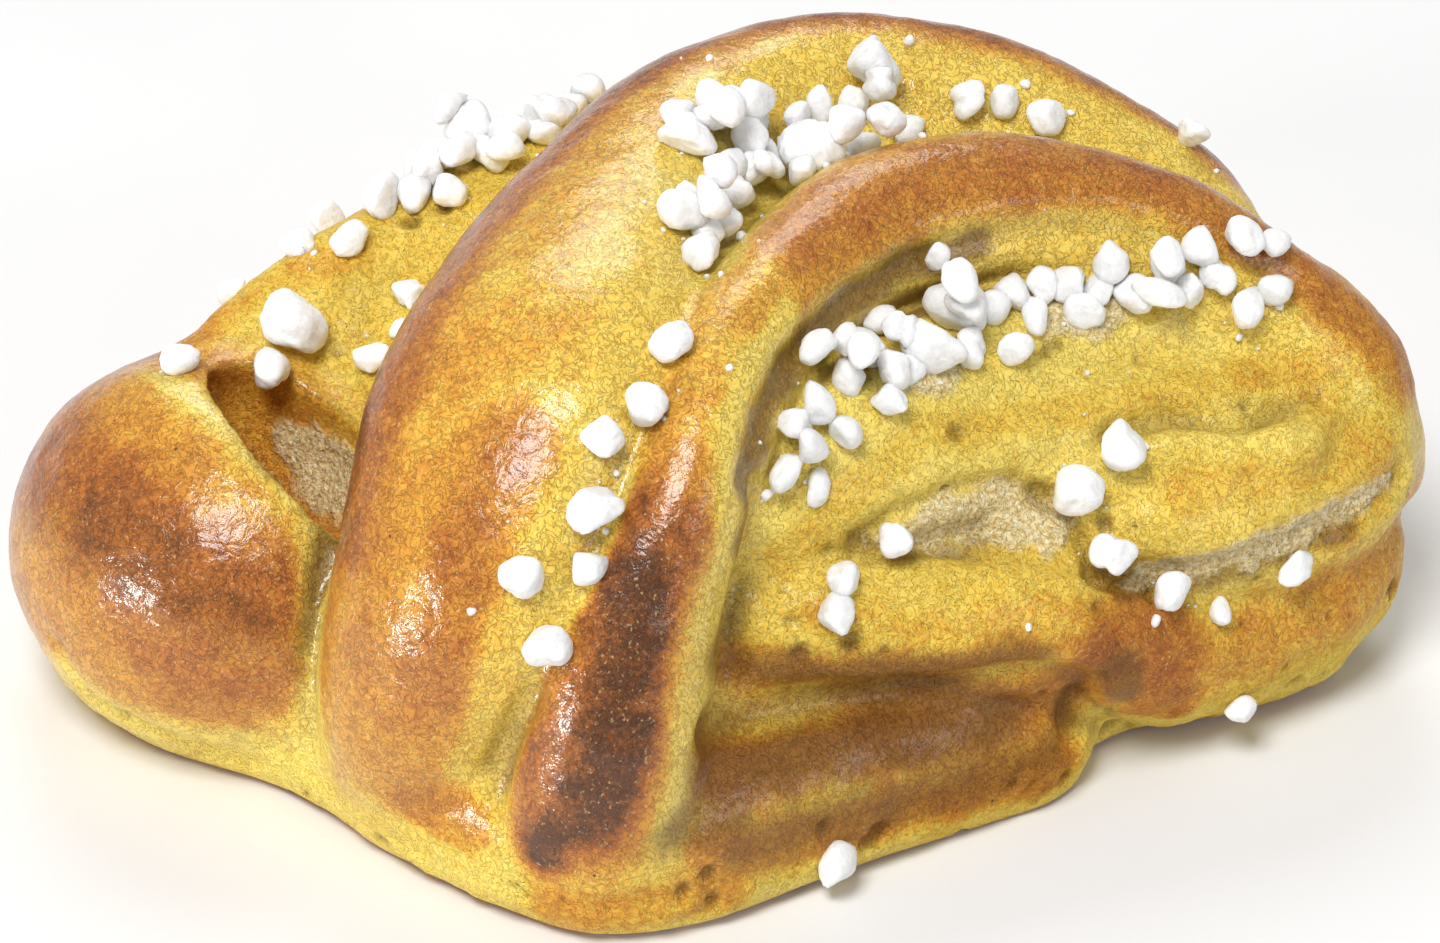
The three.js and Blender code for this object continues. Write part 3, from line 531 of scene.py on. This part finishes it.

# Painted shade on dough under overhangs: a line of points, the half width and how dark it turns.
OVERHANG_SHADE = [
    ([(29, -27, 7), (31, -18.5, 6.5), (33, -10, 6), (35, -3, 5.5)], 3.8, 0.42),
    ([(26, -27, 12), (28, -20.5, 11), (30.5, -13, 10.5), (33, -5.5, 9.5)], 5.5, 0.55),
    ([(24, -22, 17), (27.5, -15, 15.5), (31.5, -9, 15), (34.5, -3.5, 15)], 2.8, 0.45),
    ([(23, -20.5, 27), (21.5, -19, 31), (19.5, -15.5, 34), (17.8, -10.5, 35.5),
      (17, -4, 36), (17, 2, 36.5), (18.5, 8, 36.8)], 2.4, 0.6),
    ([(36.5, 3, 12), (37.5, 3, 9)], 3, 0.5),
    ([(25.5, -31, 9), (27.5, -27, 9)], 4, 0.5),
    ([(23.5, -24, 20), (22.3, -20.5, 23)], 3, 0.45),
    ([(35.5, 5, 17), (37.5, 9.5, 16), (39.5, 13, 16), (41, 17, 16.8), (42, 22.5, 17.5)], 1.8, 0.55),
    ([(-24, -42.5, 16), (-14, -46, 18), (-7.5, -43, 16), (-5, -41, 15)], 4.5, 0.16),
    ([(-18, -35, 24.5), (-12, -35.2, 23.5), (-8, -34.5, 20.5)], 2.5, 0.6),
]

# Sugary filling that wells up between the rolled layers: points and how far it spreads there.
FILLINGS = [
    [(24.8, -10.5, 22.8, 0.4), (26.5, -5.5, 23, 1.7), (28.3, -1.5, 22.6, 2.4),
     (30.4, 2, 21.5, 2.2)],
    [(35.5, 6, 17, 0.8), (37.7, 10.1, 17, 1.3), (39.7, 13.4, 17.2, 1.5), (41, 17.5, 17.9, 1.5),
     (42, 22.9, 18.6, 1.2), (41.9, 27.5, 18.7, 0.8)],
    [(-18, -27.7, 19.5, 1.5), (-14, -28.3, 18.5, 3), (-11, -30.5, 19.5, 2.5)],
    [(22.5, 10, 33, 1.5), (24.5, 14, 32.5, 2)],
    [(20.5, -3, 31.8, 1.5), (21.5, 0, 31.5, 1.8)],
]


def settle(points):
    """Brings points near the surface onto it."""
    points = np.array(points, float)
    for _ in range(3):
        points[:, :3] -= dough_distance(points[:, :3])[:, None] * way_out(points[:, :3])
    return points


def paint(tone, corners):
    ragged = 0.9 * noise(corners, 5, 5) + 0.4 * noise(corners, 1.8, 9)
    for line, radius, target, strength in TONES:
        away = line_distance(corners, settle(line)) + 0.25 * radius * ragged
        tone = tone + strength * (1 - smooth_step(0.25, 1.0, away / radius)) * (target - tone)
    return tone


# Painted shade under overhangs: how dark the overhang strokes turn the dough at each corner.
def overhang_shade(corners):
    darkening = np.zeros(len(corners))
    ragged = 0.8 * noise(corners, 3, 10)
    for line, radius, amount in OVERHANG_SHADE:
        away = (line_distance(corners, settle(line)) + ragged) / radius
        darkening = np.maximum(darkening, amount * (1 - smooth_step(0.1, 1.0, away)))
    return darkening


def press(corners):
    """How far the creases press the surface in."""
    depth = np.zeros(len(corners))
    for line, radius, amount in CREASES:
        away = line_distance(corners, settle(line)) / radius
        depth += amount * (1 - smooth_step(0, 1.6, away)) ** (1.6 if amount > 0 else 1)
    return depth


def filling_cover(corners):
    cover = np.zeros(len(corners))
    ragged = 0.35 * noise(corners, 2.0, 6) + 0.2 * noise(corners, 0.9, 7)
    for rows in FILLINGS:
        line = catmull_rom(settle(rows), 6)
        away = np.full(len(corners), 9.0)
        for *place, spread in line:
            away = np.minimum(away, np.linalg.norm(corners - place, axis=1) / spread)
        cover = np.maximum(cover, 1 - smooth_step(0.75, 1.15, away + ragged))
    return cover


def bake(corners, normals):
    """The looks at the surface: baked tone, cut, sugary filling, painted shade in creases and
    under overhangs, and how far it is pressed in.
    """
    tone, cut = fold_looks(corners)
    open_wide = np.clip(dough_distance(corners + 4 * normals) / 4, 0, 1)
    open_close = np.clip(dough_distance(corners + 1.5 * normals) / 1.5, 0, 1)
    z = corners[:, 2]
    tone = tone * (0.6 + 0.4 * smooth_step(0.25, 0.8, open_wide))  # creases brown less
    foot = 1 - smooth_step(3, 9, z + 1.5 * noise(corners, 6, 3))
    tone = paint(tone * (1 - 0.6 * foot) + 0.05 * foot, corners)
    tone += 0.06 * noise(corners, 7, 1) + 0.05 * noise(corners, 2.5, 2)
    # the pale line just above the sheet, and the brown underside
    rim = 1 - smooth_step(0.5, 2.0, z + 0.8 * noise(corners, 4, 4))
    tone = tone * (1 - 0.4 * rim) + 0.08 * rim
    pressed = press(corners)
    # painted shade: darker where the surface lies in a crease or is pressed in
    painted_shade = 0.6 * (1 - open_wide) + 0.4 * (1 - open_close) + 0.45 * np.clip(pressed, 0, 1)
    # painted shade on dough under overhangs from the overhang strokes, and a little everywhere
    painted_shade = np.maximum(painted_shade, 0.25 + overhang_shade(corners))
    under = (normals[:, 2] < -0.75) & (z < 1)
    tone = np.where(under, 0.62 + 0.08 * noise(corners, 5, 8), tone)
    return dict(tone=np.clip(tone, 0, 1), cut=np.clip(cut + 0.5 * foot, 0, 1),
                filling=filling_cover(corners), painted_shade=np.clip(np.where(under, 0, painted_shade), 0, 1),
                pressed=pressed)


def crust_relief(p, looks):
    """How far the surface stands out from the smooth dough, in mm.

    Each part is a sum of noises, each a height times noise of a size, both in mm.
    """
    cut, filling = looks["cut"], looks["filling"]
    skin = 0.12 * noise(p, 6, 11) + 0.06 * noise(p, 2.2, 12) + 0.04 * noise(p, 1.1, 13)
    crumb = 0.25 * noise(p, 5, 14) + 0.2 * noise(p, 2.4, 15) + 0.12 * noise(p, 1.2, 16)
    grainy = 0.1 + 0.12 * np.abs(noise(p, 1.4, 17)) + 0.15 * noise(p, 3, 18)
    low = 1 - smooth_step(2.5, 7, p[:, 2])
    layered = low * 0.22 * noise(p * np.array([1, 1, 3.5]), 5, 19)
    relief = skin * (1 - cut) + crumb * cut + grainy * filling + layered - looks["pressed"]
    return relief * smooth_step(0.4, 1.6, p[:, 2])


def dig_pores(p, looks):
    """Depth of small open bubbles in the snipped faces and low on the sides, mm."""
    chance = (looks["cut"] > 0.5) * 0.6 + (p[:, 2] < 6) * (p[:, 2] > 0.8) * 1.0
    chance = chance * (looks["filling"] < 0.1)
    centres = random.choice(len(p), PORES, replace=False, p=chance / chance.sum())
    depth = np.zeros(len(p))
    for centre in centres:
        radius = random.uniform(0.4, 1.0)
        away = np.linalg.norm(p - p[centre], axis=1) / radius
        near = away < 1
        depth[near] = np.maximum(depth[near], 0.7 * radius * (1 - away[near] ** 2))
    return depth


def build_dough():
    """Corners, quads and baked looks of the bun, in moulded millimetres."""
    corners, quads = surface_net(*grid_distances())
    corners[:, 2] = np.maximum(corners[:, 2], 0)
    corners = relax(corners, quads, 2, corners[:, 2] < 0.05)
    normals = corner_normals(corners, quads)
    box = corners.min(0), corners.max(0)
    looks = bake(corners, normals)
    relief = crust_relief(corners, looks)
    pores = dig_pores(corners, looks)
    # the depth of the pores, which the crust material turns into painted shade
    looks["pore"] = np.clip(pores / 0.5, 0, 1)
    corners = corners + normals * (relief - pores)[:, None]
    corners[:, 2] = np.maximum(corners[:, 2], 0)
    return corners, quads, looks, box


# ---------------------------------------------------------------- fitting to the frame

bun_low, bun_high = (np.array(v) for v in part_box("bun"))
dough, dough_quads, dough_looks, dough_box = build_dough()
FIT_MIDDLE = (dough_box[0] + dough_box[1]) / 2
FIT_SCALE = (bun_high - bun_low) / (dough_box[1] - dough_box[0])


def to_frame(p):
    """Moulded millimetres to metres in the row frame."""
    return (bun_low + bun_high) / 2 + (np.asarray(p, float) - FIT_MIDDLE) * FIT_SCALE


def to_dough(p):
    """Metres in the row frame to moulded millimetres."""
    return FIT_MIDDLE + (np.asarray(p, float) - (bun_low + bun_high) / 2) / FIT_SCALE


# ---------------------------------------------------------------- materials


class Nodes:
    """Short calls for building a node material."""

    def __init__(self, name):
        self.material = bpy.data.materials.new(name)
        self.material.use_nodes = True
        self.tree = self.material.node_tree
        self.shader = self.tree.nodes["Principled BSDF"]
        self.place = self.node("ShaderNodeTexCoord").outputs["Object"]

    def node(self, kind, **settings):
        made = self.tree.nodes.new(kind)
        for key, value in settings.items():
            setattr(made, key, value)
        return made

    def link(self, source, target):
        self.tree.links.new(source, target)

    def feed(self, socket, value):
        if isinstance(value, bpy.types.NodeSocket):
            self.link(value, socket)
        else:
            socket.default_value = value

    def attribute(self, name):
        return self.node("ShaderNodeAttribute", attribute_name=name).outputs["Fac"]

    def math(self, operation, a, b=0.0, c=0.0, clamp=False):
        made = self.node("ShaderNodeMath", operation=operation, use_clamp=clamp)
        for socket, value in zip(made.inputs, (a, b, c)):
            self.feed(socket, value)
        return made.outputs[0]

    def noise(self, size_mm, detail=2.0, rough=0.5, twist=0.0):
        made = self.node("ShaderNodeTexNoise")
        self.link(self.place, made.inputs["Vector"])
        made.inputs["Scale"].default_value = 1 / (size_mm * MM)
        made.inputs["Detail"].default_value = detail
        made.inputs["Roughness"].default_value = rough
        made.inputs["Distortion"].default_value = twist
        return made.outputs["Fac"]

    def cells(self, size_mm):
        made = self.node("ShaderNodeTexVoronoi")
        self.link(self.place, made.inputs["Vector"])
        made.inputs["Scale"].default_value = 1 / (size_mm * MM)
        return made.outputs["Distance"]

    def span(self, value, low, high, to_low=0.0, to_high=1.0):
        made = self.node("ShaderNodeMapRange", interpolation_type="SMOOTHSTEP")
        for socket, number in zip(made.inputs, (value, low, high, to_low, to_high)):
            self.feed(socket, number)
        return made.outputs[0]

    def mix(self, factor, a, b):
        made = self.node("ShaderNodeMix", data_type="RGBA")
        for name, value in (("Factor_Float", factor), ("A_Color", a), ("B_Color", b)):
            self.feed(next(s for s in made.inputs if s.identifier == name), value)
        return next(s for s in made.outputs if s.identifier == "Result_Color")

    def ramp(self, value, stops):
        made = self.node("ShaderNodeValToRGB")
        elements = made.color_ramp.elements
        while len(elements) < len(stops):
            elements.new(0.5)
        for element, (place, colour) in zip(elements, stops):
            element.position = place
            element.color = (*colour, 1)
        self.feed(made.inputs[0], value)
        return made.outputs[0]

    def bump(self, height, depth_mm, under=None):
        made = self.node("ShaderNodeBump")
        made.inputs["Strength"].default_value = 1.0
        made.inputs["Distance"].default_value = depth_mm * MM
        self.link(height, made.inputs["Height"])
        if under is not None:
            self.link(under, made.inputs["Normal"])
        return made.outputs[0]

    def set(self, **values):
        for key, value in values.items():
            self.feed(self.shader.inputs[key.replace("_", " ")], value)


PALE = (0.90, 0.71, 0.155)
YELLOW = (0.81, 0.55, 0.072)
GOLD = (0.68, 0.31, 0.032)
BROWN = (0.41, 0.118, 0.016)
DARK = (0.085, 0.022, 0.008)
SHADE_COLOUR = (0.16, 0.065, 0.012, 1)  # painted shade: the dark colour laid into the deepest creases, the wrinkle lines and the pores
GLINT = (0.95, 0.74, 0.34, 1)  # painted glints: bright golden specks standing in for specular highlights on the glazed skin
SPECK = (0.05, 0.02, 0.01, 1)  # saffron
GRIT = [(0.3, (0.52, 0.33, 0.11)), (0.5, (0.82, 0.66, 0.34)), (0.7, (0.97, 0.92, 0.70))]


def crust_material():
    n = Nodes("crust")
    tone, cut, painted_shade = n.attribute("tone"), n.attribute("cut"), n.attribute("painted_shade")
    filling, pore = n.attribute("filling"), n.attribute("pore")
    fine, middling = n.noise(0.5, 3, 0.65, 0.6), n.noise(1.7, 2)
    swing = n.math("MULTIPLY_ADD", tone, -0.5, 0.85)
    mottle = n.math("MULTIPLY_ADD", n.math("SUBTRACT", fine, 0.5), swing, tone)
    mottle = n.math("MULTIPLY_ADD", n.math("SUBTRACT", middling, 0.5), 0.3, mottle, clamp=True)
    colour = n.ramp(mottle, [(0.0, PALE), (0.28, YELLOW), (0.5, GOLD), (0.78, BROWN), (1, DARK)])
    crack = n.span(n.math("ABSOLUTE", n.math("SUBTRACT", n.noise(0.6, 2, 0.5, 1.0), 0.5)),
                   0.0, 0.05, 1, 0)
    # painted shade in the fine wrinkle lines of the glazed skin, weaker on the cut faces
    crack_shade = n.math("MULTIPLY_ADD", cut, -0.26, 0.28)
    colour = n.mix(n.math("MULTIPLY", crack, crack_shade), colour, SHADE_COLOUR)
    # painted glints: bright specks standing in for specular highlights on the skin
    glint = n.span(n.noise(0.3, 2, 0.6), 0.60, 0.72)
    colour = n.mix(n.math("MULTIPLY", glint, 0.32), colour, GLINT)
    grit = n.ramp(n.noise(0.4, 3, 0.7), GRIT)
    colour = n.mix(n.math("MULTIPLY", filling, 0.92), colour, grit)
    # painted shade in the pores, darker the deeper the pore
    colour = n.mix(n.math("MULTIPLY", pore, 0.6), colour, SHADE_COLOUR)
    bare = n.math("MULTIPLY_ADD", filling, -0.6, 1.0)
    # painted shade in creases and under overhangs, weaker over the filling
    shade = n.math("MULTIPLY", n.span(painted_shade, 0.15, 0.9, 0, 0.85), bare)
    colour = n.mix(shade, colour, SHADE_COLOUR)
    speck = n.span(n.cells(5.5), 0.02, 0.03, 1, 0)
    colour = n.mix(n.math("MULTIPLY", speck, 0.85), colour, SPECK)
    n.set(Base_Color=colour)
    n.set(Roughness=n.math("MULTIPLY_ADD", cut, 0.2, 0.5))
    wrinkle = n.bump(fine, 0.24)
    lines = n.bump(n.math("MULTIPLY", crack, -1.0), 0.07, wrinkle)
    crumb = n.bump(n.math("MULTIPLY", n.noise(0.9, 4, 0.7), cut), 0.45, lines)
    grain = n.bump(n.math("MULTIPLY", n.noise(0.5, 3, 0.6), filling), 0.4, crumb)
    n.set(Normal=grain, IOR=1.4, Specular_Tint=(1.0, 0.80, 0.50, 1))
    n.set(Coat_Weight=n.math("MULTIPLY_ADD", cut, -0.8, 0.8, clamp=True), Coat_Roughness=0.17)
    n.set(Coat_Normal=n.bump(n.noise(0.9, 3, 0.6, 0.5), 0.12))
    n.set(Subsurface_Weight=0.10, Subsurface_Radius=(1.0, 0.45, 0.12), Subsurface_Scale=1.0 * MM)
    return n.material


def sugar_material():
    n = Nodes("sugar")
    frost = n.noise(0.5, 3, 0.6)
    n.set(Base_Color=n.ramp(frost, [(0.3, (0.78, 0.78, 0.78)), (0.7, (0.88, 0.88, 0.88))]))
    n.set(Roughness=0.5)
    low = n.bump(n.noise(1.1, 2), 0.25)
    n.set(Normal=n.bump(n.noise(0.3, 3, 0.6), 0.05, low))
    n.set(Subsurface_Weight=0.5, Subsurface_Radius=(1.0, 0.95, 0.9), Subsurface_Scale=1.0 * MM)
    return n.material


def floor_material():
    n = Nodes("floor")
    tint = n.noise(40, 2)
    n.set(Base_Color=n.ramp(tint, [(0.3, (0.77, 0.77, 0.77)), (0.7, (0.80, 0.80, 0.80))]))
    n.set(Roughness=0.8)
    return n.material


CRUST, SUGAR, FLOOR = crust_material(), sugar_material(), floor_material()

# ---------------------------------------------------------------- pieces


def make_mesh(name, corners, faces, material):
    mesh = bpy.data.meshes.new(name)
    mesh.from_pydata(corners, [], faces)
    mesh.shade_smooth()
    mesh.materials.append(material)
    piece = bpy.data.objects.new(name, mesh)
    bpy.context.scene.collection.objects.link(piece)
    return piece


def make_bun():
    piece = make_mesh("crust_of_bun", to_frame(dough), dough_quads.tolist(), CRUST)
    for name in ("tone", "cut", "filling", "pore", "painted_shade"):
        layer = piece.data.attributes.new(name, "FLOAT", "POINT")
        layer.data.foreach_set("value", dough_looks[name].astype(np.float32))
    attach(piece, "root")
    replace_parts(piece, "bun")


def round_ball(level):
    """Directions and triangles of an even ball."""
    mesh = bpy.data.meshes.new("ball")
    shape = bmesh.new()
    bmesh.ops.create_icosphere(shape, subdivisions=level, radius=1)
    shape.to_mesh(mesh)
    shape.free()
    corners = np.array([v.co[:] for v in mesh.vertices])
    faces = np.array([p.vertices[:] for p in mesh.polygons])
    bpy.data.meshes.remove(mesh)
    return corners / np.linalg.norm(corners, axis=1)[:, None], faces


def sugar_lump(ball, sides=8, hardness=7, lumps=0.12):
    """A pressed lump of sugar inside the unit cube: flattened sides with rounded edges."""
    normals = random.normal(size=(sides, 3))
    normals /= np.linalg.norm(normals, axis=1)[:, None]
    depths = random.uniform(0.60, 0.95, sides)
    facing = np.maximum(ball @ normals.T, 0) / depths
    widest = 1.1  # no corner reaches farther out than this
    reach = ((facing ** hardness).sum(1) + (1 / widest) ** hardness) ** (-1 / hardness)
    seed = random.uniform(0, 50)
    reach *= 1 + lumps * noise(ball + seed, 0.9) + 0.35 * lumps * noise(ball + seed, 0.3)
    waist = random.uniform(0, 0.28) * (random.random() < 0.4)
    reach *= 1 - waist * np.exp(-((ball[:, 0] - random.uniform(-0.2, 0.2)) / 0.22) ** 2)
    lump = ball * reach[:, None]
    low, high = lump.min(0), lump.max(0)
    return 2 * (lump - (low + high) / 2) / (high - low)


SINK = 0.35  # how deep a grain sits in the glaze, mm
LARGEST_DROP = 1.2  # the farthest that a grain settles from its CAD place, mm
TOUCH = 0.82  # centres of two touching grains, as a part of the sum of their radii

# Grains that the CAD leaves out, which fill up the heaps: place x, y, z, length and breadth, mm.
SMALL_GRAINS = [
    (21.8, -12.9, 27.7, 3.0, 1.7), (25.9, -15, 19.9, 2.9, 2.6), (40.9, 17.1, 15.9, 3.2, 2.3),
    (38.6, 11.8, 12.9, 2.2, 1.7), (39.5, 13, 5, 2.9, 2.5), (30.8, -20.1, 3.2, 3.6, 2.8),
    (16.4, 4.7, 36.8, 2.2, 1.9), (15.3, -0.8, 33.5, 2.6, 2.4), (23, 14.7, 32.5, 3.0, 2.3),
    (25.8, 17.8, 32, 4.5, 2.1), (28.7, 26.7, 33.2, 2.9, 2.2), (17.8, -5.9, 33, 2.9, 2.4),
    (-14.6, -20, 27, 2.3, 1.8), (1.8, -7.3, 40.2, 2.1, 1.5), (-0.9, 12.9, 38.5, 3.0, 2.4),
    (3.5, 5.5, 39.5, 3.4, 2.2), (0.5, 4, 40, 3.2, 2.6), (-22.5, -12, 33, 3.2, 2.6),
    (-23.5, -5, 34.5, 3.0, 2.4), (19.5, -7, 34.5, 2.8, 2.4), (20.5, 3, 34.8, 3.2, 2.6),
    (-24.5, -8, 34, 3.4, 2.8), (-23, -1, 35, 3.6, 3.0), (-19.5, -5.5, 34.5, 2.8, 2.4),
    (2, -1, 41.5, 3.0, 2.6), (-2, -1, 42, 3.2, 2.4), (6, -8, 41, 2.8, 2.2),
    (4.5, 2, 40.5, 2.8, 2.4), (-26, -4, 33, 3.4, 2.6), (-21.5, 3, 34, 3.0, 2.4),
    (21.5, -2.5, 34, 2.8, 2.2), (-0.5, -1.5, 43, 3.4, 3.0), (1, 1.8, 42.5, 3.2, 2.8),
    (-1.5, 2.8, 42.5, 3.6, 3.0), (-0.5, 4.5, 42, 3.0, 2.6), (1, 6, 41.5, 3.2, 2.8),
    (2.5, 0.5, 41.5, 2.8, 2.4), (3.5, -5, 41.5, 3.0, 2.4), (5.5, -8.8, 41.5, 3.0, 2.6),
    (3.8, -7.8, 41.5, 2.8, 2.4), (-4.5, -1.5, 42.5, 3.0, 2.6), (0.5, 8.5, 41, 3.2, 2.6),
    (2, 10.5, 40.5, 3.0, 2.6), (-0.5, 9, 41, 2.8, 2.4), (0.5, 14, 40.5, 3.0, 2.6),
    (5, 19.5, 39, 3.0, 2.6), (6.5, 21.8, 38.5, 2.8, 2.4), (-22.5, -8, 37, 3.4, 3.0),
    (-22, -3.5, 37.5, 3.4, 3.0), (-21.5, -0.5, 38, 3.2, 2.8), (-24, 1.5, 36.5, 3.2, 2.8),
    (-22.5, 5.5, 36, 3.0, 2.6), (-23.5, -10.5, 35.5, 3.0, 2.6), (19.8, 7, 34, 3.2, 2.6),
    (21, 11, 34, 3.0, 2.4), (23.5, 15.5, 34.5, 3.4, 2.8), (26.5, 18.5, 34, 3.2, 2.6),
    (29, 21.2, 33.5, 3.0, 2.4), (24, 12.5, 32.5, 3.2, 2.6), (20.8, -4, 33.5, 3.2, 2.8),
    (19.3, -6.5, 33.5, 3.2, 2.6), (19.8, 2.5, 34.5, 3.4, 3.0), (21.8, 3, 33, 3.2, 2.6),
    (22.3, 9, 33, 2.8, 2.4), (19.8, -11, 33, 3.2, 2.6), (20.3, -14.3, 32, 3.0, 2.6),
    (26, 21.8, 34, 3.2, 2.8), (31.5, 24.8, 32, 2.8, 2.4), (19, -1.5, 35, 3.2, 2.8),
    (24.8, 19.5, 34.5, 3.0, 2.6),
]


def lay_lump(lump, farthest):
    """Moves a lump, in moulded mm, along the dough's way out until it sits in the glaze."""
    out = way_out(lump.mean(0)[None])[0]
    return lump - out * min(dough_distance(lump).min() + SINK, farthest)


def centre_and_radius(lump):
    centre = lump.mean(0)
    return centre, np.linalg.norm(lump - centre, axis=1).mean()


def lay_on_others(lump, laid):
    """Raises a lump, in moulded mm, until it rests on the grains in its way."""
    out = way_out(lump.mean(0)[None])[0]
    radius = centre_and_radius(lump)[1]
    while any(np.linalg.norm(lump.mean(0) - place) < TOUCH * (radius + other)
              for place, other in laid):
        lump = lump + 0.1 * out
    laid.append(centre_and_radius(lump))
    return lump


def make_grain(name, lump, triangles):
    piece = make_mesh(name, lump, triangles.tolist(), SUGAR)
    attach(piece, "root")
    return piece


def make_grains():
    ball, triangles = round_ball(4)
    laid = []  # centre and radius of each grain
    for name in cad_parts:
        if not name.startswith("sugar"):
            continue
        low, high = (np.array(v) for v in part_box(name))
        lump = (low + high) / 2 + sugar_lump(ball) * (high - low) / 2
        lump = lay_lump(to_dough(lump), LARGEST_DROP)
        laid.append(centre_and_radius(lump))
        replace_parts(make_grain("pearl_" + name, to_frame(lump), triangles), name)
    ball, triangles = round_ball(3)
    for i, (x, y, z, length, breadth) in enumerate(SMALL_GRAINS):
        lump = sugar_lump(ball) * np.array([length, breadth, 0.9 * breadth]) / 2
        turn = Matrix.Rotation(random.uniform(0, 3.14), 3, "Z")
        tilt = Vector(way_out(np.array([[x, y, z]], float))[0]).to_track_quat("Z", "Y")
        lump = lump @ np.array(tilt.to_matrix() @ turn).T + (x, y, z)
        lump = lay_on_others(lay_lump(lump, 6), laid)
        make_grain(f"pearl_small_{i + 1:02d}", to_frame(lump), triangles)


def make_crumbs():
    """Broken bits of pearl sugar, most of them close to a grain."""
    ball, triangles = round_ball(2)
    grains = np.array([to_dough(np.mean([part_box(name)[0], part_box(name)[1]], axis=0))
                       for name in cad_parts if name.startswith("sugar")])
    nearest = np.full(len(dough), 1e9)
    for grain in grains:
        nearest = np.minimum(nearest, np.linalg.norm(dough - grain, axis=1))
    normals = corner_normals(dough, dough_quads)
    thick, thin = np.exp(-nearest / 2.0), 0.001
    chance = thick * (normals[:, 2] > 0.1) + thin * (normals[:, 2] > 0.3)
    spots = random.choice(len(dough), CRUMBS, replace=False, p=chance / chance.sum())
    corners, faces = [], []
    for spot in spots:
        size = 0.14 + 0.45 * random.random() ** 3
        bit = sugar_lump(ball, lumps=0.05) * size * random.uniform(0.6, 1.0, 3)
        corners.append(dough[spot] + normals[spot] * 0.3 * size + bit)
        faces.append(triangles + len(ball) * len(faces))
    make_grain("sugar_crumbs", to_frame(np.vstack(corners)), np.vstack(faces))


make_bun()
make_grains()
make_crumbs()

# ---------------------------------------------------------------- stage, lights and camera


def make_floor():
    half = 3.0  # m
    floor = make_mesh("floor", [(-half, -half, 0), (half, -half, 0), (half, half, 0),
                                (-half, half, 0)], [(0, 1, 2, 3)], FLOOR)


def aim(thing, place, target):
    thing.location = place
    thing.rotation_euler = (Vector(target) - Vector(place)).to_track_quat("-Z", "Y").to_euler()


def make_light(name, place, size, watts):
    """A round soft light, its place and diameter in metres, aimed at the bun."""
    light = bpy.data.lights.new(name, "AREA")
    light.shape = "DISK"
    light.size = size
    light.energy = watts
    lamp = bpy.data.objects.new(name, light)
    bpy.context.scene.collection.objects.link(lamp)
    aim(lamp, place, (0, 0, 0.02))


def make_world():
    world = bpy.data.worlds.new("studio")
    world.use_nodes = True
    world.node_tree.nodes["Background"].inputs["Color"].default_value = (1, 1, 1, 1)
    world.node_tree.nodes["Background"].inputs["Strength"].default_value = 0.28
    bpy.context.scene.world = world


CAMERA_AZIMUTH, CAMERA_ELEVATION = math.radians(46), math.radians(35)
CAMERA_DISTANCE = 0.450
CAMERA_TARGET = (-0.8, -0.8, 11.8)  # moulded mm
CAMERA_LENS = 149.6  # mm, on a sensor 36 mm wide


def make_camera():
    data = bpy.data.cameras.new("camera")
    data.lens = CAMERA_LENS
    data.sensor_width = 36
    camera = bpy.data.objects.new("camera", data)
    bpy.context.scene.collection.objects.link(camera)
    target = to_frame(CAMERA_TARGET)
    level = math.cos(CAMERA_ELEVATION)
    back = np.array([math.sin(CAMERA_AZIMUTH) * level, -math.cos(CAMERA_AZIMUTH) * level,
                     math.sin(CAMERA_ELEVATION)])
    aim(camera, target + back * CAMERA_DISTANCE, target)
    bpy.context.scene.camera = camera


make_floor()
make_world()
make_light("key", (0.16, -0.38, 0.75), 0.36, 6.0)
make_light("back", (-0.42, 0.33, 0.55), 0.40, 2.0)
make_light("front", (-0.14, -0.72, 0.08), 0.10, 2.2)
make_light("side", (0.70, 0.05, 0.35), 0.30, 0.9)
make_camera()
bpy.context.scene.view_settings.view_transform = "Standard"
